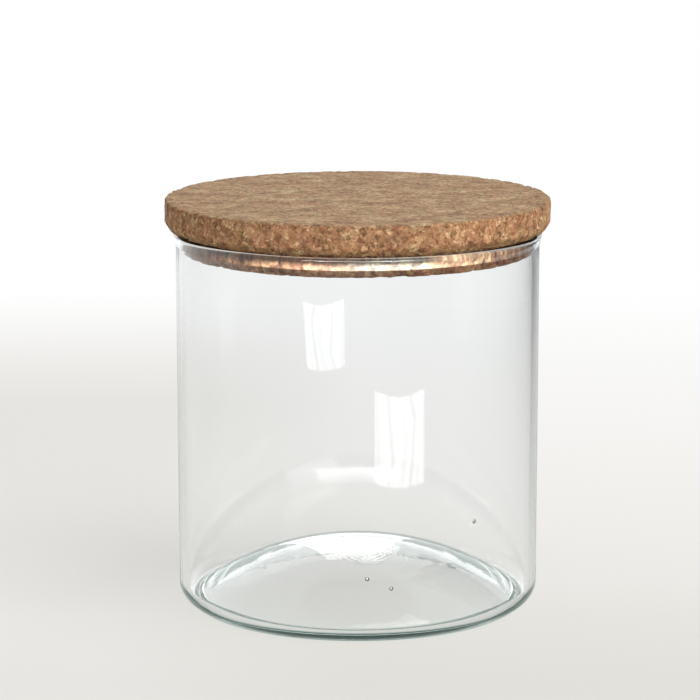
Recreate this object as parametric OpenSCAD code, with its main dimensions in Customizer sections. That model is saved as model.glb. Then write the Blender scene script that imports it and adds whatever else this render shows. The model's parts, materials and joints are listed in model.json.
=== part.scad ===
// Blown glass storage jar with a lid of two glued cork discs.
// Origin: centre of the base, on the surface that the jar stands on. +Z is up, along the axis of every piece.

/* [Jar] */
// Outer diameter of the straight body
body_d = 120; // [90:1:180]
// Height of the glass, from the table to the crown of the rim
jar_h = 124.9; // [70:0.1:260]
// Thickness of the straight wall
wall = 2.2; // [1.5:0.1:3.5]

/* [Heel and push-up] */
// Outer radius of the rounded heel
heel_r = 7; // [5:0.5:9]
// Radius of the heel inside, where the wall turns inwards
inner_heel_r = 4.6; // [3:0.1:6]
// Height of the inner heel's round above the table
heel_glass = 2.8; // [1.5:0.1:5]
// How far the inner heel turns before the floor rises from it, in degrees
heel_turn = 60; // [45:5:75]
// Radius of the crease where the floor rises from the heel
crease_r = 1.5; // [0.8:0.1:2.5]
// Width of the flat ring that the jar rests on
rest_w = 1.6; // [1:0.1:4]
// Radius between the resting ring and the push-up
foot_r = 3; // [1:0.5:5]
// Rise of the push-up under the middle of the floor
punt_rise = 17; // [8:0.5:22]
// Glass in the middle of the push-up
punt_glass = 2.5; // [1.5:0.1:6]

/* [Rim] */
// Height of the bead that is turned out around the mouth
bead_h = 3.9; // [3:0.1:8]
// How far the bead stands proud of the body
bead_out = 0.6; // [0.4:0.1:1.5]
// Crisp step at the bead's lower edge
bead_step = 0.25; // [0.1:0.05:0.35]

/* [Lid] */
// How far the upper disc reaches past the body, all round
disc_overhang = 3.6; // [1.5:0.1:10]
// Thickness of the upper disc
disc_t = 10; // [6:0.5:20]
// Height of the bevel under the upper disc's edge
bevel_h = 2.6; // [0.5:0.1:4]
// Width of the bevel under the upper disc's edge
bevel_w = 1.7; // [0.5:0.1:4]
// Radius sanded on the lid's upper edge
lid_edge_r = 0.7; // [0.3:0.1:1.5]
// Thickness of the lower disc, which plugs the mouth
plug_t = 7.5; // [5:0.5:20]
// Bevel on the plug's lower edge
plug_bevel = 0.8; // [0.3:0.1:3]

/* [Fit] */
// Gap between the plug and the mouth, all round
plug_gap = 0.25; // [0.15:0.05:0.6]
// Gap between the upper disc and the crown of the rim
seat_gap = 0.8; // [0.2:0.05:1.2]

/* [Hidden] */
$fn = 192;

glass_colour = [0.86, 0.93, 0.90, 0.45];
disc_colour = [0.66, 0.51, 0.38];
plug_colour = [0.52, 0.37, 0.27];

// Rounds that run into one another are lapped by this much, so that their outlines cross cleanly
lap = 0.002;

body_r = body_d / 2;
mouth_r = body_r - wall;

// A dome with its apex on the axis, touching from below a round of radius r centred at (out, up)
function dome_r(apex, out, up, r) =
    (pow(out, 2) + pow(apex - up, 2) - pow(r, 2)) / (2 * (r + apex - up));

// Inner heel: touches the wall inside
heel_out = mouth_r - inner_heel_r;
heel_up = heel_glass + inner_heel_r;
// Long enough to frame the inner heel's round
heel_frame = 2 * inner_heel_r;

// Crease: carries on from the inner heel, and touches the push-up's upper face
crease_step = inner_heel_r - crease_r;
crease_out = heel_out + crease_step * cos(heel_turn);
crease_up = heel_up - crease_step * sin(heel_turn);
floor_apex = punt_rise + punt_glass;
floor_r = dome_r(floor_apex, crease_out, crease_up, crease_r);
floor_centre = floor_apex - floor_r;

// Foot: touches the resting ring, and the push-up's underside
foot_out = body_r - heel_r - rest_w;
under_r = dome_r(punt_rise, foot_out, foot_r, foot_r);
under_centre = punt_rise - under_r;

// Rim: the crown is a full round, and the bead swells out to meet it
crown_r = (wall + bead_out) / 2;
crown_z = jar_h - crown_r;
bead_z = jar_h - bead_h;
swell = bead_out - bead_step;
swell_r = (pow(crown_z - bead_z, 2) + pow(swell, 2)) / (2 * swell);

// Lid
disc_r = body_r + disc_overhang;
disc_z = jar_h + seat_gap;
plug_r = mouth_r - plug_gap;

module outside_section() {
    translate([body_r - heel_r, heel_r])
        circle(heel_r);
    square([body_r - heel_r, heel_r + 1]);
    translate([0, heel_r])
        square([body_r, crown_z - heel_r]);
    bead_section();
}

module bead_section() {
    intersection() {
        translate([body_r + bead_out - swell_r, crown_z])
            circle(swell_r);
        translate([mouth_r, bead_z])
            square([wall + bead_out, bead_h - crown_r]);
    }
    translate([mouth_r + crown_r, crown_z])
        circle(crown_r);
}

// The space that the jar holds, from the floor to the mouth
module inside_section() {
    difference() {
        union() {
            polygon([[0, floor_centre], [crease_out, crease_up], [mouth_r, heel_up], [0, heel_up]]);
            translate([0, heel_up])
                square([mouth_r, jar_h - heel_up]);
        }
        translate([0, floor_centre])
            circle(floor_r);
    }
    translate([crease_out, crease_up])
        circle(crease_r + lap);
    inner_heel_section();
}

// The part of the inner heel's round between the wall and the crease
module inner_heel_section() {
    intersection() {
        translate([heel_out, heel_up])
            circle(inner_heel_r);
        translate([heel_out, heel_up])
            polygon([
                [0, 0],
                [heel_frame * cos(heel_turn), -heel_frame * sin(heel_turn)],
                [heel_frame, -heel_frame * sin(heel_turn)],
                [heel_frame, 0]
            ]);
    }
}

// The space between the table and the push-up
module under_section() {
    difference() {
        union() {
            intersection() {
                translate([0, under_centre])
                    circle(under_r);
                polygon([[0, under_centre], [foot_out, foot_r], [foot_out, floor_apex], [0, floor_apex]]);
            }
            polygon([[0, under_centre], [foot_out, foot_r], [foot_out, under_centre]]);
        }
        translate([foot_out, foot_r])
            circle(foot_r + lap);
    }
}

module glass_jar() {
    color(glass_colour)
        rotate_extrude()
            difference() {
                outside_section();
                inside_section();
                under_section();
            }
}

module lid_disc() {
    color(disc_colour)
        translate([0, 0, disc_z])
            rotate_extrude() {
                polygon([
                    [0, 0],
                    [disc_r - bevel_w, 0],
                    [disc_r, bevel_h],
                    [disc_r, disc_t - lid_edge_r],
                    [disc_r - lid_edge_r, disc_t],
                    [0, disc_t]
                ]);
                translate([disc_r - lid_edge_r, disc_t - lid_edge_r])
                    circle(lid_edge_r);
            }
}

module lid_plug() {
    color(plug_colour)
        translate([0, 0, disc_z - plug_t])
            rotate_extrude()
                polygon([
                    [0, 0],
                    [plug_r - plug_bevel, 0],
                    [plug_r, plug_bevel],
                    [plug_r, plug_t],
                    [0, plug_t]
                ]);
}

glass_jar();
lid_disc();
lid_plug();
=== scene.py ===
import json
import math

import bmesh
import bpy
import numpy as np
from bpy.props import FloatProperty, FloatVectorProperty, IntProperty, PointerProperty
from bpy.types import Operator, Panel, PropertyGroup
from mathutils import Matrix, Vector

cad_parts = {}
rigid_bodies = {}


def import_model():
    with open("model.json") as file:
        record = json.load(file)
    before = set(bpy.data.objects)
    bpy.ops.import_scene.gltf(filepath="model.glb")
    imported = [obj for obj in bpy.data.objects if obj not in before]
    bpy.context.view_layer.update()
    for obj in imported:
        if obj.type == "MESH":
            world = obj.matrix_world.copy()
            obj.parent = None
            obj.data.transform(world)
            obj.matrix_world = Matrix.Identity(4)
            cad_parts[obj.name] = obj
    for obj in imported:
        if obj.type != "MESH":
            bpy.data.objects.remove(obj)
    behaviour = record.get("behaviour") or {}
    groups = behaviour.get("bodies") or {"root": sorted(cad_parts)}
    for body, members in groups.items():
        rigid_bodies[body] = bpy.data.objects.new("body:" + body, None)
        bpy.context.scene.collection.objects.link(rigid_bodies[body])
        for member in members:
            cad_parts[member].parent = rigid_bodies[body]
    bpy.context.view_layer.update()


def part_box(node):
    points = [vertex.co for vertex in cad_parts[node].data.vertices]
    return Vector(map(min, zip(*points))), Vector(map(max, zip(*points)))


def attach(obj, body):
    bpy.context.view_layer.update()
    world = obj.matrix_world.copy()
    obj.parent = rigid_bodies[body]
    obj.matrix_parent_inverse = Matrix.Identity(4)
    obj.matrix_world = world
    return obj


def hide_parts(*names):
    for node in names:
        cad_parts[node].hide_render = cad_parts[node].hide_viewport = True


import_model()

bl_info = {
    "name": "Glass Jar with Cork Lid",
    "version": (1, 0, 0),
    "blender": (4, 5, 0),
    "location": "View3D > Sidebar > Glass Jar",
    "description": "Blown glass, pressed cork, table, light and camera for a storage jar",
    "category": "Object",
}

MM = 0.001
WHITE = (1, 1, 1, 1)

JAR_LOW, JAR_HIGH = (Vector(corner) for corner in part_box("glass_jar"))
DISC_LOW, DISC_HIGH = (Vector(corner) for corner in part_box("lid_disc"))
PLUG_LOW, PLUG_HIGH = (Vector(corner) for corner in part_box("lid_plug"))
RIM_R = round((JAR_HIGH.x - JAR_LOW.x) / 2, 4)
JAR_H = JAR_HIGH.z
DISC_R = (DISC_HIGH.x - DISC_LOW.x) / 2
PLUG_R = (PLUG_HIGH.x - PLUG_LOW.x) / 2

# In how many parts each stretch of the jar's section is drawn
PARTS = {
    "dome": 60, "crease": 12, "rest": 2, "heel": 32, "inner heel": 16, "wall": 12, "bead": 12, "crown": 24,
}

# Where the seeds are in the front wall: across, and up from the table
SEEDS = [(3.0 * MM, 21.6 * MM), (10.6 * MM, 18.3 * MM), (37.0 * MM, 37.3 * MM)]

# The middle of the spiral that the gather left in the floor
GATHER = (4 * MM, -13 * MM, 0)

# Browns of the cork from its darkest granules to its palest
DISC_SHADES = [(0.22, "#6E4A34"), (0.39, "#96694A"), (0.5, "#A87E5B"), (0.61, "#B78C66"), (0.79, "#DCC098")]
TOP_SHADES = [(0.3, "#593A27"), (0.42, "#896748"), (0.5, "#9D7E5D"), (0.58, "#B19470"), (0.7, "#D2BC99")]
PLUG_SHADES = [(0.25, "#482C1C"), (0.4, "#6A4631"), (0.5, "#7E573F"), (0.6, "#8C664A"), (0.76, "#A88462")]

# The bead's gleam on the plug, from its left end to its right end
GLEAM = [(0, "#000000"), (0.08, "#302E2C"), (0.18, "#4C4E4C"), (0.25, "#6A6E70"), (0.32, "#8C9298"),
         (0.44, "#95A8BC"), (0.52, "#99C5F0"), (0.58, "#AAE1FF"), (0.67, "#AAE1FF"), (0.72, "#A4B7C4"),
         (0.86, "#74848A"), (0.94, "#687276"), (1, "#000000")]

# Greys of the table left and right of the jar, from its front edge to far behind it. They are darker towards
# the front, and more so on the right: painted shade of the room.
TABLE_LEFT = [(0.03, "#E5E3DF"), (0.13, "#EAE8E4"), (0.27, "#E7E5E1"), (0.6, "#E7E5E1"), (1, "#FFFFFF")]
TABLE_RIGHT = [(0.03, "#DEDCD7"), (0.13, "#E4E2DD"), (0.19, "#E9E7E3"), (0.55, "#F5F4F2"), (1, "#FFFFFF")]

# Corners of the patch of sun on the table in front of the jar, in metres across and behind it
SUNLIT_PATCH = [(0.046, -0.274), (0.168, -0.217), (0.079, -0.447), (0.286, -0.348)]

# Upright cards in metres: left and right, how far behind the jar, foot and head, and brightness
CARDS = {
    "back_sill": ((-0.9, 0.9), 1.65, (0.02, 0.42), 1.7),
    "back_window": ((-0.9, 0.9), 1.65, (0.42, 1.2), 1.1),
    "back_door": ((-0.22, 0.15), 1.6, (0.05, 1.2), 3),
    "dark_corner": ((0.2, 1.4), 0.62, (0.25, 0.8), 0.15),
}

# Where the lamps hang and how wide they are, in metres
KEY_LAMP = ((0.95, -1.25, 0.6), 1.2)
TOP_LAMP = ((0.7, -0.6, 1.9), 1.5)


class JarGlassSettings(PropertyGroup):
    wall: FloatProperty(
        name="Wall", description="Thickness of the straight wall", default=2.2 * MM, unit="LENGTH")
    heel: FloatProperty(
        name="Heel", description="Outer radius of the heel", default=7 * MM, unit="LENGTH")
    inner_heel: FloatProperty(
        name="Inner heel", description="Inner radius of the heel", default=4.6 * MM, unit="LENGTH")
    heel_glass: FloatProperty(
        name="Heel glass", description="Glass under the inner heel", default=2.8 * MM, unit="LENGTH")
    heel_turn: FloatProperty(
        name="Heel turn", description="How far the inner heel turns before the floor rises from it",
        default=math.radians(60), subtype="ANGLE")
    crease: FloatProperty(
        name="Crease", description="Radius where the floor rises from the heel",
        default=1.5 * MM, unit="LENGTH")
    rest: FloatProperty(
        name="Resting ring", description="Width of the flat ring", default=1.6 * MM, unit="LENGTH")
    foot: FloatProperty(
        name="Foot", description="Radius inside the resting ring", default=3 * MM, unit="LENGTH")
    rise: FloatProperty(
        name="Push-up", description="Rise under the middle of the floor", default=17 * MM, unit="LENGTH")
    rise_glass: FloatProperty(
        name="Push-up glass", description="Glass in the middle of the floor",
        default=2.5 * MM, unit="LENGTH")
    bead: FloatProperty(
        name="Bead height", description="Height of the bead at the mouth", default=3.9 * MM, unit="LENGTH")
    bead_out: FloatProperty(
        name="Bead", description="How far the bead stands out", default=0.6 * MM, unit="LENGTH")
    bead_step: FloatProperty(
        name="Bead step", description="Step at the bead's lower edge", default=0.25 * MM, unit="LENGTH")
    seed: FloatProperty(
        name="Seed", description="Radius of the bubbles in the wall", default=0.68 * MM, unit="LENGTH")
    tint: FloatVectorProperty(
        name="Tint", description="Colour of the glass seen through its thick edges",
        default=(0.25, 0.80, 0.84), subtype="COLOR", min=0, max=1)
    tint_density: FloatProperty(
        name="Tint density", description="How soon the tint shows", default=7)
    trapped: IntProperty(
        name="Trapped light",
        description="Reflections after which light counts as trapped in the foot, and shows deep green",
        default=3)


class JarCorkSettings(PropertyGroup):
    grain: FloatProperty(
        name="Granule", description="Width of a cork granule", default=2.6 * MM, unit="LENGTH")
    groove: FloatProperty(
        name="Groove", description="Depth of the seams between granules", default=0.12 * MM, unit="LENGTH")
    rough: FloatProperty(
        name="Roughness", description="How far granules lie below one another",
        default=0.16 * MM, unit="LENGTH")
    chip: FloatProperty(
        name="Chip", description="Depth of the chips along the cut edges", default=0.5 * MM, unit="LENGTH")
    bevel_height: FloatProperty(
        name="Bevel height", description="Height of the bevel under the lid",
        default=2.6 * MM, unit="LENGTH")
    bevel_width: FloatProperty(
        name="Bevel width", description="Width of the bevel under the lid",
        default=1.7 * MM, unit="LENGTH")
    edge: FloatProperty(
        name="Top edge", description="Radius sanded on the top edge", default=0.7 * MM, unit="LENGTH")
    plug_bevel: FloatProperty(
        name="Plug bevel", description="Bevel on the plug's lower edge", default=0.8 * MM, unit="LENGTH")


class JarStageSettings(PropertyGroup):
    sky: FloatProperty(
        name="Soft light", description="Strength of the light from all round", default=0.45)
    key: FloatProperty(
        name="Key light", description="Power of the large lamp at the right", default=10, unit="POWER")
    top: FloatProperty(
        name="Top light", description="Power of the large lamp overhead", default=32, unit="POWER")
    glow: FloatProperty(
        name="Table glow", description="How much the table near the jar glows by itself", default=0.7)
    rim_glow: FloatProperty(
        name="Rim glow", description="Sunlight that the bead throws on the plug", default=24)
    window: FloatProperty(
        name="Window", description="Brightness of the high window in front", default=14)
    patch: FloatProperty(
        name="Sunlit patch", description="Brightness of the patch on the table", default=4)


def linear(colour):
    """A colour written as sRGB hex, as linear red, green, blue and 1."""
    parts = [int(colour[i:i + 2], 16) / 255 for i in (1, 3, 5)]
    return [p / 12.92 if p <= 0.04045 else ((p + 0.055) / 1.055) ** 2.4 for p in parts] + [1]


def add(tree, kind, inputs=(), out=0, stops=(), **settings):
    """Adds a node, sets what it holds, fills its inputs with values or links from sockets, and gives one of
    its outputs. Inputs are named, or in the order of those in use. Stops are a ramp's places and colours."""
    node = tree.nodes.new(kind)
    for name, value in settings.items():
        setattr(node, name, value)
    for number, (place, colour) in enumerate(stops):
        ramp = node.color_ramp.elements
        element = ramp[number] if number < len(ramp) else ramp.new(place)
        element.position = place
        element.color = linear(colour)
    used = [socket for socket in node.inputs if socket.enabled]
    for name, value in inputs.items() if isinstance(inputs, dict) else enumerate(inputs):
        socket = used[name] if isinstance(name, int) else next(s for s in used if s.name == name)
        if isinstance(value, bpy.types.NodeSocket):
            tree.links.new(value, socket)
        else:
            socket.default_value = value
    given = [socket for socket in node.outputs if socket.enabled]
    if isinstance(out, str):
        return next(socket for socket in given if socket.name == out)
    return given[out] if given else None


def weighed(tree, *parts):
    """The sum of values, each times its weight."""
    total = 0
    for value, weight in parts:
        total = add(tree, "ShaderNodeMath", (value, weight, total), operation="MULTIPLY_ADD")
    return total


def new_material(name):
    material = bpy.data.materials.new(name)
    material.use_nodes = True
    material.node_tree.nodes.clear()
    return material, material.node_tree


def draw(piece, place, moves):
    """Draws an outline from the selected point: lines to a place, and arcs about a centre through so many
    degrees, each in so many parts."""
    for kind, (out, up), *how in moves:
        if kind == "line":
            bpy.ops.mesh.extrude_vertices_move(
                TRANSFORM_OT_translate={"value": (out - place.x, 0, up - place.y)})
            place = Vector((out, up))
            if how[0] > 1:
                bpy.ops.mesh.select_more()
                bpy.ops.mesh.subdivide(number_cuts=how[0] - 1)
                select_point(piece, place)
        else:
            turn = math.radians(how[0])
            bpy.ops.mesh.spin(steps=how[1], angle=turn, center=(out, 0, up), axis=(0, 1, 0))
            centre = Vector((out, up))
            place = centre + Matrix.Rotation(turn, 2) @ (place - centre)


def select_point(piece, place):
    """Selects the point of the outline that is at this place, and nothing else."""
    bpy.ops.mesh.select_all(action="DESELECT")
    mesh = bmesh.from_edit_mesh(piece.data)
    there = Vector((place.x, 0, place.y))
    min(mesh.verts, key=lambda point: (point.co - there).length).select = True
    bmesh.update_edit_mesh(piece.data)


def spin_piece(name, start, moves, steps):
    """A new object in edit mode: an outline drawn from its first point and spun about the axis."""
    bpy.ops.object.select_all(action="DESELECT")
    bpy.ops.mesh.primitive_plane_add(size=MM, location=(0, 0, 0))
    piece = bpy.context.object
    piece.name = piece.data.name = name
    bpy.ops.object.mode_set(mode="EDIT")
    bpy.ops.mesh.merge(type="CENTER")
    bpy.ops.transform.translate(value=(start[0], 0, start[1]))
    draw(piece, Vector(start), moves)
    bpy.ops.object.mode_set(mode="OBJECT")
    bpy.ops.object.modifier_add(type="SCREW")
    screw = piece.modifiers[-1]
    screw.steps = screw.render_steps = steps
    bpy.ops.object.modifier_apply(modifier=screw.name)
    bpy.ops.object.mode_set(mode="EDIT")
    bpy.ops.mesh.select_all(action="SELECT")
    bpy.ops.mesh.remove_doubles(threshold=0.001 * MM)
    return piece


def cap(piece, up, span=0):
    """Closes the round opening at this height, with a grid of so many spans or with one flat face."""
    bpy.ops.mesh.select_all(action="DESELECT")
    bpy.ops.mesh.select_mode(type="EDGE")
    mesh = bmesh.from_edit_mesh(piece.data)
    for edge in mesh.edges:
        edge.select = edge.is_boundary and all(abs(v.co.z - up) < 0.01 * MM for v in edge.verts)
    bmesh.update_edit_mesh(piece.data)
    if span:
        bpy.ops.mesh.fill_grid(span=span)
    else:
        bpy.ops.mesh.edge_face_add()
    bpy.ops.mesh.select_mode(type="VERT")


def finish_piece(piece, smooth_below):
    """Turns the surface outwards, and rounds its shading where it bends by less than so many degrees."""
    bpy.ops.mesh.select_all(action="SELECT")
    bpy.ops.mesh.normals_make_consistent(inside=False)
    bpy.ops.object.mode_set(mode="OBJECT")
    bpy.ops.object.shade_smooth_by_angle(angle=math.radians(smooth_below))


def hand_in(piece, body, node):
    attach(piece, body)
    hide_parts(node)


def dome(apex, out, up, radius):
    """The centre height of a dome that has its apex on the axis and touches, from below, a round centred at
    (out, up), and the angle at which they touch."""
    r = (out ** 2 + (apex - up) ** 2 - radius ** 2) / (2 * (radius + apex - up))
    return apex - r, math.degrees(math.atan2(up - apex + r, out))


def glass_outline(s):
    """The jar's section, from the axis underneath, up the outside and down the inside to the axis."""
    body_r = RIM_R - s.bead_out
    mouth_r = body_r - s.wall
    foot_out = body_r - s.heel - s.rest
    under, under_touch = dome(s.rise, foot_out, s.foot, s.foot)
    crown_r = (s.wall + s.bead_out) / 2
    crown_z = JAR_H - crown_r
    bead_z = JAR_H - s.bead
    swell = s.bead_out - s.bead_step
    swell_r = ((crown_z - bead_z) ** 2 + swell ** 2) / (2 * swell)
    swell_turn = math.degrees(math.asin((crown_z - bead_z) / swell_r))
    heel_out = mouth_r - s.inner_heel
    heel_up = s.heel_glass + s.inner_heel
    heel_turn = math.degrees(s.heel_turn)
    crease_out = heel_out + (s.inner_heel - s.crease) * math.cos(s.heel_turn)
    crease_up = heel_up - (s.inner_heel - s.crease) * math.sin(s.heel_turn)
    floor, floor_touch = dome(s.rise + s.rise_glass, crease_out, crease_up, s.crease)
    return (0, s.rise), [
        ("arc", (0, under), under_touch - 90, PARTS["dome"]),
        ("arc", (foot_out, s.foot), 90 - under_touch, PARTS["crease"]),
        ("line", (body_r - s.heel, 0), PARTS["rest"]),
        ("arc", (body_r - s.heel, s.heel), 90, PARTS["heel"]),
        ("line", (body_r, bead_z), PARTS["wall"]),
        ("line", (body_r + s.bead_step, bead_z), 1),
        ("arc", (body_r + s.bead_out - swell_r, crown_z), swell_turn, PARTS["bead"]),
        ("arc", (mouth_r + crown_r, crown_z), 180, PARTS["crown"]),
        ("line", (mouth_r, heel_up), PARTS["wall"]),
        ("arc", (heel_out, heel_up), -heel_turn, PARTS["inner heel"]),
        ("arc", (crease_out, crease_up), floor_touch - 180 + heel_turn, PARTS["crease"]),
        ("arc", (0, floor), 90 - floor_touch, PARTS["dome"]),
    ]


def blow_seeds(s, piece):
    """Adds the bubbles that are caught in the middle of the wall, each with its surface turned inwards."""
    out = RIM_R - s.bead_out - s.wall / 2
    for across, up in SEEDS:
        place = (across, -math.sqrt(out ** 2 - across ** 2), up)
        bpy.ops.mesh.primitive_uv_sphere_add(segments=24, ring_count=12, radius=s.seed, location=(0, 0, 0))
        bpy.ops.object.mode_set(mode="EDIT")
        bpy.ops.mesh.select_all(action="SELECT")
        bpy.ops.mesh.flip_normals()
        bpy.ops.transform.translate(value=place)
        bpy.ops.object.mode_set(mode="OBJECT")
        piece.select_set(True)
        bpy.context.view_layer.objects.active = piece
        bpy.ops.object.join()


def height_of_ripples(tree):
    """Heights in mm: upright striations all over, the gather's spiral, and the ring of the foot tool."""
    streak_width, streak_stretch, streak_height = 3 * MM, 25, 0.012
    pitch, spiral_in, spiral_out, spiral_height = 1.7 * MM, 2 * MM, 17 * MM, 0.012
    ring_r, ring_width, ring_height = 33 * MM, 3 * MM, 0.05
    place = add(tree, "ShaderNodeTexCoord", out="Object")
    squashed = add(tree, "ShaderNodeVectorMath", (place, (1, 1, 1 / streak_stretch)), operation="MULTIPLY")
    streaks = add(tree, "ShaderNodeTexNoise", {"Vector": squashed, "Scale": 1 / streak_width, "Detail": 2})
    flat = add(tree, "ShaderNodeVectorMath", (place, (1, 1, 0)), operation="MULTIPLY")
    aside = add(tree, "ShaderNodeVectorMath", (flat, GATHER), operation="SUBTRACT")
    away = add(tree, "ShaderNodeVectorMath", (aside,), operation="LENGTH")
    x, y, _ = add(tree, "ShaderNodeSeparateXYZ", (aside,)).node.outputs
    turn = add(tree, "ShaderNodeMath", (y, x), operation="ARCTAN2")
    wave = add(tree, "ShaderNodeMath", (away, 2 * math.pi / pitch, turn), operation="MULTIPLY_ADD")
    spiral = add(tree, "ShaderNodeMath", (wave,), operation="SINE")
    spiral_depth = add(tree, "ShaderNodeMapRange", (away, spiral_in, spiral_out, spiral_height, 0))
    out = add(tree, "ShaderNodeVectorMath", (flat,), operation="LENGTH")
    from_ring = add(tree, "ShaderNodeMath", (out, ring_r), operation="SUBTRACT")
    off_ring = add(tree, "ShaderNodeMath", (from_ring,), operation="ABSOLUTE")
    ring = add(tree, "ShaderNodeMapRange", (off_ring, 0, ring_width, ring_height, 0),
               interpolation_type="SMOOTHSTEP")
    return weighed(tree, (streaks, streak_height), (spiral, spiral_depth), (ring, 1))


def glass_material(s):
    """Soda-lime glass, blown and fire-polished: clear through the wall, and green where it is seen edge on.
    Light that is trapped in the thick foot would come out deep green, so there the glass glows deep green by
    itself after a few reflections: painted light."""
    foot_top, foot_end = 6 * MM, 24 * MM
    material, tree = new_material("soda_lime_glass_blown")
    bump = add(tree, "ShaderNodeBump", {"Strength": 1, "Distance": MM, "Height": height_of_ripples(tree)})
    path = add(tree, "ShaderNodeLightPath").node.outputs
    trapped = add(tree, "ShaderNodeMath", (path["Glossy Depth"], s.trapped), operation="GREATER_THAN")
    place = add(tree, "ShaderNodeTexCoord", out="Object")
    up = add(tree, "ShaderNodeSeparateXYZ", (place,), out="Z")
    in_foot = add(tree, "ShaderNodeMapRange", (up, foot_top, foot_end, 1, 0))
    # Painted light: the foot glows deep green by itself for rays that have been mirrored more than a few
    # times
    trapped_glow = add(tree, "ShaderNodeMath", (trapped, in_foot), operation="MULTIPLY")
    glass = add(tree, "ShaderNodeBsdfPrincipled", {
        "Base Color": WHITE, "Roughness": 0, "IOR": 1.5, "Transmission Weight": 1,
        "Emission Color": linear("#0C3C34"), "Emission Strength": trapped_glow, "Normal": bump})
    clear = add(tree, "ShaderNodeBsdfTransparent", {"Color": linear("#FDFEFE")})
    lit = add(tree, "ShaderNodeMath", (path["Is Shadow Ray"], path["Is Diffuse Ray"]), operation="MAXIMUM")
    surface = add(tree, "ShaderNodeMixShader", (lit, glass, clear))
    inside = add(tree, "ShaderNodeVolumeAbsorption", {"Color": (*s.tint, 1), "Density": s.tint_density})
    add(tree, "ShaderNodeOutputMaterial", {"Surface": surface, "Volume": inside})
    return material


class JAR_OT_blow_glass(Operator):
    """Blow the glass jar"""
    bl_idname = "jar.blow_glass"
    bl_label = "Glass Jar"

    def execute(self, context):
        s = context.scene.jar_glass
        piece = spin_piece("jar_glass", *glass_outline(s), steps=384)
        finish_piece(piece, smooth_below=40)
        blow_seeds(s, piece)
        piece.data.materials.append(glass_material(s))
        hand_in(piece, "jar", "glass_jar")
        return {"FINISHED"}


def granules(tree, place, width):
    """Pressed cork granules: two random values for each, and how many widths away its nearest seam is."""
    bend_scale, bend_reach = 0.8, 1.1
    bend = add(tree, "ShaderNodeTexNoise", {
        "Vector": place, "Scale": bend_scale / width, "Detail": 3}, out="Color")
    centred = add(tree, "ShaderNodeVectorMath", (bend, (0.5, 0.5, 0.5)), operation="SUBTRACT")
    bent = add(tree, "ShaderNodeVectorMath", (centred, bend_reach * width), operation="SCALE")
    moved = add(tree, "ShaderNodeVectorMath", (place, bent), operation="ADD")
    where = {"Vector": moved, "Scale": 1 / width}
    cell = add(tree, "ShaderNodeTexVoronoi", where, out="Color")
    seam = add(tree, "ShaderNodeTexVoronoi", where, feature="DISTANCE_TO_EDGE")
    first, second, _ = add(tree, "ShaderNodeSeparateXYZ", (cell,)).node.outputs
    return first, second, seam


def top_and_edge(tree, s, up, colour, pits, mottled, torn):
    """What is done to the upper disc alone: its top is sanded finer, small cells are torn open just under
    its top edge, and its bevel is painted darker and olive towards its foot, as painted shade under the
    lid's edge."""
    top_skin, torn_foot, torn_head = DISC_HIGH.z - 0.2 * MM, DISC_HIGH.z - 2.2 * MM, DISC_HIGH.z - 0.8 * MM
    on_top = add(tree, "ShaderNodeMapRange", (up, DISC_HIGH.z - s.edge, top_skin))
    colour = add(tree, "ShaderNodeMix", (on_top, colour, mottled), data_type="RGBA")
    # Painted shade: the bevel darkens and turns olive towards its foot
    bevel_rise = add(tree, "ShaderNodeMapRange", (up, DISC_LOW.z, DISC_LOW.z + s.bevel_height))
    bevel_shade = add(tree, "ShaderNodeValToRGB", (bevel_rise,), stops=[(0, "#BFC2B0"), (1, "#FFFFFF")])
    colour = add(tree, "ShaderNodeMix", (1, colour, bevel_shade), data_type="RGBA", blend_type="MULTIPLY")
    near_edge = add(tree, "ShaderNodeMapRange", (up, torn_foot, torn_head))
    torn = weighed(tree, (torn, 1), (near_edge, 0.22))
    nicks = add(tree, "ShaderNodeMapRange", (torn, 0.76, 0.82, 1, 0.6))
    return colour, add(tree, "ShaderNodeMix", (on_top, nicks, pits), data_type="FLOAT")


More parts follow.
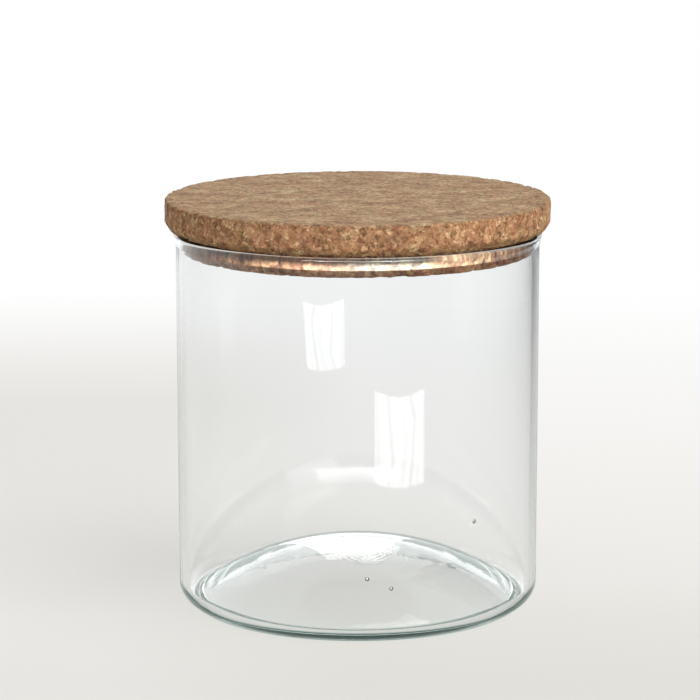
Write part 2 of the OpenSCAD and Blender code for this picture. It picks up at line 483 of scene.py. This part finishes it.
def cork_material(name, s, grain, shades, top_shades=None):
    """Agglomerated cork, cut and sanded: matt granules in several browns, some redder and some olive, with
    dark cells broken open and thin seams. With top shades it is the upper disc's."""
    fine_width, coarse_width, broad_width = 0.7 * MM, 2.2 * MM, 9 * MM
    small_share = 0.4
    material, tree = new_material(name)
    place = add(tree, "ShaderNodeTexCoord", out="Object")
    shade, hue, seam = granules(tree, place, grain)
    small, spot, _ = granules(tree, place, small_share * grain)
    fine = add(tree, "ShaderNodeTexNoise", {
        "Vector": place, "Scale": 1 / fine_width, "Detail": 4, "Roughness": 0.7})
    broad = add(tree, "ShaderNodeTexNoise", {"Vector": place, "Scale": 1 / broad_width, "Detail": 3})
    tone = weighed(tree, (shade, 0.3), (small, 0.25), (fine, 0.45))
    colour = add(tree, "ShaderNodeValToRGB", (tone,), stops=shades)
    # Of the small cells about one in twelve is broken open, and of the granules one in thirty is dark
    open_cells = add(tree, "ShaderNodeMapRange", (spot, 0.9, 0.94, 1, 0.66))
    dark_granules = add(tree, "ShaderNodeMapRange", (hue, 0.95, 0.98, 1, 0.7))
    pits = add(tree, "ShaderNodeMath", (open_cells, dark_granules), operation="MULTIPLY")
    if top_shades:
        coarse = add(tree, "ShaderNodeTexNoise", {
            "Vector": place, "Scale": 1 / coarse_width, "Detail": 5, "Roughness": 0.75})
        top_tone = weighed(tree, (small, 0.14), (coarse, 0.5), (broad, 0.36))
        mottled = add(tree, "ShaderNodeValToRGB", (top_tone,), stops=top_shades)
        torn = weighed(tree, (spot, 0.6), (hue, 0.4))
        up = add(tree, "ShaderNodeSeparateXYZ", (place,), out="Z")
        colour, pits = top_and_edge(tree, s, up, colour, pits, mottled, torn)
    warmth = weighed(tree, (hue, 0.5), (broad, 0.5))
    tint = add(tree, "ShaderNodeValToRGB", (warmth,), stops=[(0.3, "#FFF3EC"), (0.7, "#F5F9EF")])
    colour = add(tree, "ShaderNodeMix", (1, colour, tint), data_type="RGBA", blend_type="MULTIPLY")
    seams = add(tree, "ShaderNodeMapRange", (seam, 0, 0.08, 0.8, 1))
    dark = add(tree, "ShaderNodeMath", (seams, pits), operation="MULTIPLY")
    body = add(tree, "ShaderNodeVectorMath", (colour, dark), operation="SCALE")
    bump = add(tree, "ShaderNodeBump", {"Strength": 0.4, "Distance": 0.15 * MM, "Height": fine})
    cork = add(tree, "ShaderNodeBsdfPrincipled", {
        "Base Color": body, "Roughness": 0.85, "Specular IOR Level": 0.25, "Normal": bump})
    add(tree, "ShaderNodeOutputMaterial", {"Surface": cork})
    return material


def measure_granules(piece, grain):
    """Writes each point's granule values and its distance to a seam on the mesh, and reads them."""
    group = bpy.data.node_groups.new("cork_granules", "GeometryNodeTree")
    group.interface.new_socket("Geometry", in_out="INPUT", socket_type="NodeSocketGeometry")
    group.interface.new_socket("Geometry", in_out="OUTPUT", socket_type="NodeSocketGeometry")
    mesh = add(group, "NodeGroupInput")
    place = add(group, "GeometryNodeInputPosition")
    measures = dict(zip(("granule", "second", "seam"), granules(group, place, grain)))
    for name, value in measures.items():
        mesh = add(group, "GeometryNodeStoreNamedAttribute", {
            "Geometry": mesh, "Name": name, "Value": value})
    add(group, "NodeGroupOutput", (mesh,))
    modifier = piece.modifiers.new("granules", "NODES")
    modifier.node_group = group
    bpy.context.view_layer.objects.active = piece
    bpy.ops.object.modifier_apply(modifier=modifier.name)
    for name in measures:
        measures[name] = np.empty(len(piece.data.vertices), "f")
        piece.data.attributes[name].data.foreach_get("value", measures[name])
        piece.data.attributes.remove(piece.data.attributes[name])
    return measures.values()


def crumble(piece, s, edges):
    """Sinks the seams, lowers some granules, and takes some away along the cut edges, each of which is given
    by its radius, its height and its reach. The sanded top stays smoother."""
    level, top_share = 0.9, 0.2
    seam_width, chipped, chip_soft, chip_seam = 0.14, 0.62, 0.1, 0.05
    granule, second, seam = measure_granules(piece, s.grain)
    count = len(piece.data.vertices)
    place = np.empty(count * 3, "f")
    normal = np.empty(count * 3, "f")
    piece.data.vertices.foreach_get("co", place)
    piece.data.vertex_normals.foreach_get("vector", normal)
    place, normal = place.reshape(-1, 3), normal.reshape(-1, 3)
    out = np.hypot(place[:, 0], place[:, 1])
    near = np.zeros(count)
    for edge_out, edge_up, reach in edges:
        near = np.maximum(near, 1 - np.hypot(out - edge_out, place[:, 2] - edge_up) / reach)
    sanded = np.where(normal[:, 2] > level, top_share, 1)
    groove = s.groove * sanded * (1 - np.clip(seam / seam_width, 0, 1))
    lift = s.rough * sanded * (granule - 1)
    gone = np.clip((second - chipped) / chip_soft, 0, 1) * np.clip(seam / chip_seam, 0, 1)
    chip = s.chip * near * gone
    place += normal * (lift - groove - chip)[:, None]
    piece.data.vertices.foreach_set("co", place.ravel())
    piece.data.update()


class JAR_OT_press_disc(Operator):
    """Cut and sand the lid's upper disc of pressed cork"""
    bl_idname = "jar.press_disc"
    bl_label = "Cork Disc"

    def execute(self, context):
        s = context.scene.jar_cork
        low, high = DISC_LOW.z, DISC_HIGH.z
        glued_r = PLUG_R - 6 * MM
        piece = spin_piece("lid_disc_cork", (glued_r, low), [
            ("line", (DISC_R - s.bevel_width, low), 16),
            ("line", (DISC_R, low + s.bevel_height), 7),
            ("line", (DISC_R, high - s.edge), 15),
            ("arc", (DISC_R - s.edge, high - s.edge), 90, 4),
        ], steps=720)
        cap(piece, high, span=180)
        cap(piece, low)
        finish_piece(piece, smooth_below=60)
        crumble(piece, s, edges=[
            (DISC_R, low + s.bevel_height, 2.5 * MM),
            (DISC_R, high, 1.8 * MM),
            (DISC_R - s.bevel_width, low, 2 * MM),
        ])
        cork = cork_material("agglomerated_cork_sanded", s, 0.75 * s.grain, DISC_SHADES, TOP_SHADES)
        piece.data.materials.append(cork)
        hand_in(piece, "lid", "lid_disc")
        return {"FINISHED"}


class JAR_OT_press_plug(Operator):
    """Cut the lid's lower disc of coarser pressed cork, which plugs the mouth"""
    bl_idname = "jar.press_plug"
    bl_label = "Cork Plug"

    def execute(self, context):
        s = context.scene.jar_cork
        low, high = PLUG_LOW.z, PLUG_HIGH.z
        piece = spin_piece("lid_plug_cork", (PLUG_R - s.plug_bevel, low), [
            ("line", (PLUG_R, low + s.plug_bevel), 3),
            ("line", (PLUG_R, high), 15),
        ], steps=640)
        cap(piece, low, span=160)
        cap(piece, high)
        finish_piece(piece, smooth_below=60)
        crumble(piece, s, edges=[(PLUG_R, low, 2.5 * MM)])
        piece.data.materials.append(cork_material("agglomerated_cork_cut", s, s.grain, PLUG_SHADES))
        hand_in(piece, "lid", "lid_plug")
        return {"FINISHED"}


def seen_rays(tree):
    """1 for rays from the camera and for those that glass sends on, 0 for those that light things."""
    path = add(tree, "ShaderNodeLightPath").node.outputs
    seen = path["Is Camera Ray"]
    for name in ("Is Glossy Ray", "Is Transmission Ray"):
        seen = add(tree, "ShaderNodeMath", (seen, path[name]), operation="MAXIMUM")
    return seen


def mirrored_rays(tree):
    """1 for rays that a surface has mirrored, 0 for the rest."""
    depth = add(tree, "ShaderNodeLightPath", out="Glossy Depth")
    return add(tree, "ShaderNodeMath", (depth, 0.5), operation="GREATER_THAN")


def room_strength(tree, room):
    """1 for rays that come straight from the camera or through glass, and the room's for those that a
    surface has mirrored."""
    return add(tree, "ShaderNodeMix", (mirrored_rays(tree), 1, room), data_type="FLOAT")


def lay_table(glass, table_glow):
    """The pale table, which fades to white away from the jar. Where a surface mirrors it, it is darker
    towards the camera and to the right, as the room was. Under the heel a dark green ring is painted on it:
    painted shade where the heel stands, tinted green like the glass's thick edge."""
    front, back, left, table_r = -0.12, 0.6, -0.08, 4
    fade_from, fade_to = 0.45, 0.8
    stand_r = RIM_R - glass.bead_out - glass.heel
    ring_in = (stand_r - 1.5 * MM, stand_r - 0.5 * MM)
    ring_out = (stand_r + 1 * MM, stand_r + 2.5 * MM)
    bpy.ops.object.select_all(action="DESELECT")
    bpy.ops.mesh.primitive_circle_add(vertices=96, radius=table_r, fill_type="NGON", location=(0, 0, 0))
    table = bpy.context.object
    table.name = table.data.name = "table"
    material, tree = new_material("white_table")
    place = add(tree, "ShaderNodeTexCoord", out="Object")
    x, y, _ = add(tree, "ShaderNodeSeparateXYZ", (place,)).node.outputs
    away = add(tree, "ShaderNodeVectorMath", (place,), operation="LENGTH")
    far = add(tree, "ShaderNodeMapRange", (away, fade_from, fade_to))
    depth = add(tree, "ShaderNodeMapRange", (y, front, back))
    # The table's greys hold painted shade: darker towards the front, and more so on the right
    at_left = add(tree, "ShaderNodeValToRGB", (depth,), stops=TABLE_LEFT)
    at_right = add(tree, "ShaderNodeValToRGB", (depth,), stops=TABLE_RIGHT)
    across = add(tree, "ShaderNodeMapRange", (x, left, 0))
    grey = add(tree, "ShaderNodeMix", (across, at_left, at_right), data_type="RGBA")
    grey = add(tree, "ShaderNodeMix", (far, grey, WHITE), data_type="RGBA")
    # Painted shade: a dark green ring on the table where the heel stands
    inner = add(tree, "ShaderNodeMapRange", (away, *ring_in))
    outer = add(tree, "ShaderNodeMapRange", (away, *ring_out, 1, 0))
    heel_shade_ring = add(tree, "ShaderNodeMath", (inner, outer), operation="MULTIPLY")
    grey = add(tree, "ShaderNodeMix", (heel_shade_ring, grey, linear("#3C6A62")), data_type="RGBA")
    matt = add(tree, "ShaderNodeBsdfDiffuse", {"Color": grey})
    room_front = add(tree, "ShaderNodeMapRange", (y, -0.45, -0.05, 0.35, 0.95))
    room_right = add(tree, "ShaderNodeMapRange", (x, 0.05, 0.5, 1, 0.1))
    room = add(tree, "ShaderNodeMath", (room_front, room_right), operation="MULTIPLY")
    glow = add(tree, "ShaderNodeEmission", {"Color": grey, "Strength": room_strength(tree, room)})
    behind = add(tree, "ShaderNodeMapRange", (y, 0.1, 0.55))
    white = add(tree, "ShaderNodeMath", (behind, far), operation="MAXIMUM")
    share = add(tree, "ShaderNodeMapRange", (white, 0, 1, table_glow, 1))
    share = add(tree, "ShaderNodeMath", (share, mirrored_rays(tree)), operation="MAXIMUM")
    glowing = add(tree, "ShaderNodeMath", (seen_rays(tree), share), operation="MULTIPLY")
    mixed = add(tree, "ShaderNodeMixShader", (glowing, matt, glow))
    add(tree, "ShaderNodeOutputMaterial", {"Surface": mixed})
    table.data.materials.append(material)


def add_card(name, corners, strength, stripes=0):
    """A flat card that only mirrors and glass show: lit, or dark where its strength is low."""
    bpy.ops.mesh.primitive_plane_add(size=1, location=(0, 0, 0))
    card = bpy.context.object
    card.name = card.data.name = name
    for vertex, corner in zip(card.data.vertices, corners):
        vertex.co = corner
    material, tree = new_material(name)
    if stripes:
        place = add(tree, "ShaderNodeTexCoord", out="UV")
        across = add(tree, "ShaderNodeVectorMath", (place, (1, 0, 0)), operation="MULTIPLY")
        bands = add(tree, "ShaderNodeTexNoise", {"Vector": across, "Scale": stripes, "Detail": 2})
        strength = add(tree, "ShaderNodeMapRange", (bands, 0.35, 0.6, 0.25 * strength, strength))
    glow = add(tree, "ShaderNodeEmission", {"Color": WHITE, "Strength": strength})
    add(tree, "ShaderNodeOutputMaterial", {"Surface": glow})
    card.data.materials.append(material)
    card.visible_camera = card.visible_diffuse = card.visible_shadow = False


def stand_card(name, across, behind, heights, strength):
    add_card(name, [(x, behind, z) for z in heights for x in across], strength)


def light_rim(glass, strength):
    """A strip of light round the front of the plug, as strong sunlight that the bead gathers falls on the
    cork. It lights only what is matt, and nothing mirrors or shows it."""
    low, high = JAR_H - 4 * MM, JAR_H - 1.6 * MM
    mouth_r = RIM_R - glass.bead_out - glass.wall
    low_r, high_r = (PLUG_R + mouth_r) / 2, PLUG_R + 0.12 * MM
    end, streak_width, streak_stretch = 56 * MM, 1.6 * MM, 10
    strip = spin_piece("rim_glow", (low_r, low), [("line", (high_r, high), 1)], steps=256)
    bpy.ops.object.mode_set(mode="OBJECT")
    material, tree = new_material("rim_glow")
    place = add(tree, "ShaderNodeTexCoord", out="Object")
    x, y, z = add(tree, "ShaderNodeSeparateXYZ", (place,)).node.outputs
    across = add(tree, "ShaderNodeMapRange", (x, -end, end))
    colour = add(tree, "ShaderNodeValToRGB", (across,), stops=GLEAM)
    in_front = add(tree, "ShaderNodeMapRange", (y, -22 * MM, -10 * MM, 1, 0))
    lower = add(tree, "ShaderNodeMapRange", (z, low + 0.9 * MM, high - 0.1 * MM, 1, 0))
    at_right = add(tree, "ShaderNodeMapRange", (x, 22 * MM, 30 * MM))
    rising = add(tree, "ShaderNodeMix", (at_right, lower, 0.7), data_type="FLOAT")
    flat = add(tree, "ShaderNodeVectorMath", (place, (1, 1, 1 / streak_stretch)), operation="MULTIPLY")
    noise = add(tree, "ShaderNodeTexNoise", {"Vector": flat, "Scale": 1 / streak_width, "Detail": 2})
    streaks = add(tree, "ShaderNodeMapRange", (noise, 0.35, 0.65, 0.5, 1.5))
    level = add(tree, "ShaderNodeMix", (at_right, 1, streaks), data_type="FLOAT")
    for share in (rising, in_front, strength):
        level = add(tree, "ShaderNodeMath", (level, share), operation="MULTIPLY")
    light = add(tree, "ShaderNodeEmission", {"Color": colour, "Strength": level})
    add(tree, "ShaderNodeOutputMaterial", {"Surface": light})
    strip.data.materials.append(material)
    strip.visible_camera = strip.visible_glossy = strip.visible_transmission = strip.visible_shadow = False


def light_world(scene, sky):
    """Soft light from all round, behind which the camera and glass see white. What mirrors the world sees it
    darker towards the camera and overhead."""
    world = bpy.data.worlds.new("studio")
    scene.world = world
    world.use_nodes = True
    tree = world.node_tree
    tree.nodes.clear()
    way = add(tree, "ShaderNodeTexCoord", out="Generated")
    _, y, z = add(tree, "ShaderNodeSeparateXYZ", (way,)).node.outputs
    level = add(tree, "ShaderNodeMath", (y, z), operation="SUBTRACT")
    room = add(tree, "ShaderNodeMapRange", (level, -0.2, 0.7, 0.45, 1))
    soft = add(tree, "ShaderNodeBackground", {"Color": WHITE, "Strength": sky})
    white = add(tree, "ShaderNodeBackground", {"Color": WHITE, "Strength": room_strength(tree, room)})
    mixed = add(tree, "ShaderNodeMixShader", (seen_rays(tree), soft, white))
    add(tree, "ShaderNodeOutputWorld", {"Surface": mixed})


def hang_lamp(name, place, size, power):
    """A square lamp that faces the middle of the jar."""
    middle = Vector((0, 0, 0.06))
    bpy.ops.object.light_add(type="AREA", location=place)
    lamp = bpy.context.object
    lamp.name = name
    lamp.rotation_euler = (middle - Vector(place)).to_track_quat("-Z", "Y").to_euler()
    lamp.data.shape = "SQUARE"
    lamp.data.size = size
    lamp.data.energy = power


def aim_camera(scene):
    """Stands the camera where the photograph was taken from."""
    frame_px, focal_px, axis_px = 700, 3112, 357.66
    distance, height, tilt = 1.0154, 0.282, math.radians(11.02)
    bpy.ops.object.camera_add(location=(0, -distance, height), rotation=(math.pi / 2 - tilt, 0, 0))
    camera = bpy.context.object
    camera.name = "camera"
    camera.data.sensor_width = 36
    camera.data.lens = focal_px / frame_px * camera.data.sensor_width
    camera.data.shift_x = (frame_px / 2 - axis_px) / frame_px
    scene.camera = camera
    scene.view_settings.view_transform = "Standard"


class JAR_OT_set_stage(Operator):
    """Lay the table, stand the cards round it, light the jar and aim the camera"""
    bl_idname = "jar.set_stage"
    bl_label = "Stage"

    def execute(self, context):
        s, glass = context.scene.jar_stage, context.scene.jar_glass
        aim_camera(context.scene)
        lay_table(glass, s.glow)
        add_card("sunlit_patch", [(x, y, 0.5 * MM) for x, y in SUNLIT_PATCH], s.patch, stripes=9)
        for name, card in CARDS.items():
            stand_card(name, *card)
        stand_card("front_window", (-1.6, 1.6), -2.2, (1, 1.9), s.window)
        light_rim(glass, s.rim_glow)
        light_world(context.scene, s.sky)
        hang_lamp("key_lamp", *KEY_LAMP, s.key)
        hang_lamp("top_lamp", *TOP_LAMP, s.top)
        return {"FINISHED"}


class JAR_PT_panel(Panel):
    """The jar's sizes and colours, and the steps that make it"""
    bl_label = "Glass Jar"
    bl_idname = "JAR_PT_panel"
    bl_space_type = "VIEW_3D"
    bl_region_type = "UI"
    bl_category = "Glass Jar"

    def draw(self, context):
        for settings in (context.scene.jar_glass, context.scene.jar_cork, context.scene.jar_stage):
            for name in settings.__annotations__:
                self.layout.prop(settings, name)
        for step in STEPS:
            self.layout.operator(step.bl_idname)


SETTINGS = {"jar_glass": JarGlassSettings, "jar_cork": JarCorkSettings, "jar_stage": JarStageSettings}
STEPS = (JAR_OT_blow_glass, JAR_OT_press_disc, JAR_OT_press_plug, JAR_OT_set_stage)


def register():
    for kind in (*SETTINGS.values(), *STEPS, JAR_PT_panel):
        bpy.utils.register_class(kind)
    for name, kind in SETTINGS.items():
        setattr(bpy.types.Scene, name, PointerProperty(type=kind))


def unregister():
    for name in SETTINGS:
        delattr(bpy.types.Scene, name)
    for kind in (JAR_PT_panel, *reversed(STEPS), *reversed(SETTINGS.values())):
        bpy.utils.unregister_class(kind)


def main():
    register()
    for step in STEPS:
        group, name = step.bl_idname.split(".")
        getattr(getattr(bpy.ops, group), name)()


if __name__ == "__main__":
    main()
